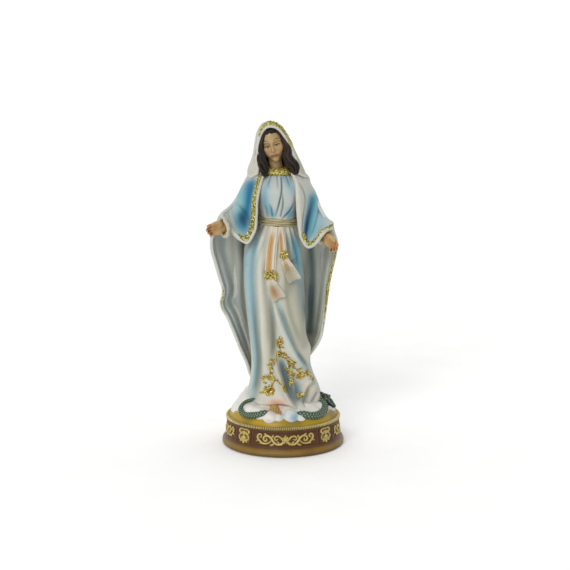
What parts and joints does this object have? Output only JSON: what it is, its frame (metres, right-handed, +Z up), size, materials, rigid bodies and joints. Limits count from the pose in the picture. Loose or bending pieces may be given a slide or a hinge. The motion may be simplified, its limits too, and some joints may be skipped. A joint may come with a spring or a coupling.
{
  "type": "religious statue",
  "caption": "Standing robed and veiled figure with open arms on a cloud over a serpent, on a round panelled plinth; cast and painted resin",
  "frame": {"origin": "centre of the round underside, on the table", "axes": "+Z up along the figure, -Y the way the figure faces, +X to the viewer's right (the figure's left)"},
  "size_m": [0.1232, 0.114, 0.3006],
  "materials": {
    "felt": "dark green felt, matt",
    "plinth_brown": "red-brown paint over cast resin, ochre on the mouldings, satin",
    "rim_gilt": "old gold paint on a cast rope rim, satin",
    "scroll_gilt": "gold paint on raised ornament, satin",
    "ground_ochre": "ochre paint over cast resin, satin",
    "cloud_white": "white paint with airbrushed sky blue and a little pink, satin",
    "serpent_green": "dark green paint with pale green on the scales, satin",
    "skin": "flesh-coloured paint over cast resin, satin",
    "gown_blue_white": "white paint with airbrushed pale blue and grey in the folds, satin",
    "belt_cream": "cream paint with a gold wash, satin",
    "sash_cream": "cream paint with airbrushed peach, satin",
    "hair_brown": "dark brown paint over cast resin, satin",
    "veil_white": "warm white paint over cast resin, satin",
    "mantle_white": "white paint with airbrushed grey and pale blue, satin",
    "drape_blue": "sky-blue airbrush that fades to white, satin",
    "cuff_white": "warm white paint over cast resin, satin",
    "gilt": "gold glitter paint, sparkling",
    "flower_gilt": "gold paint with russet in the hollows, glittering"
  },
  "bodies": {
    "root": {"felt_pad": "felt", "plinth": "plinth_brown", "rope_rim": "rim_gilt", "panel_scrolls": "scroll_gilt", "panel_cartouches": "scroll_gilt", "ground": "ground_ochre", "cloud_mound": "cloud_white", "serpent": "serpent_green", "right_foot": "skin", "gown": "gown_blue_white", "belt": "belt_cream", "right_sash_tail": "sash_cream", "left_sash_tail": "sash_cream", "sash_knots": "gilt", "collar": "gilt", "head": "skin", "hair": "hair_brown", "veil": "veil_white", "veil_band": "gilt", "mantle": "mantle_white", "mantle_edging": "gilt", "right_sleeve": "cuff_white", "left_sleeve": "cuff_white", "right_drape": "drape_blue", "left_drape": "drape_blue", "right_drape_trim": "gilt", "left_drape_trim": "gilt", "right_cuff": "cuff_white", "left_cuff": "cuff_white", "right_cuff_trim": "gilt", "left_cuff_trim": "gilt", "right_hand": "skin", "left_hand": "skin", "embroidery": "flower_gilt"}
  },
  "joints": []
}
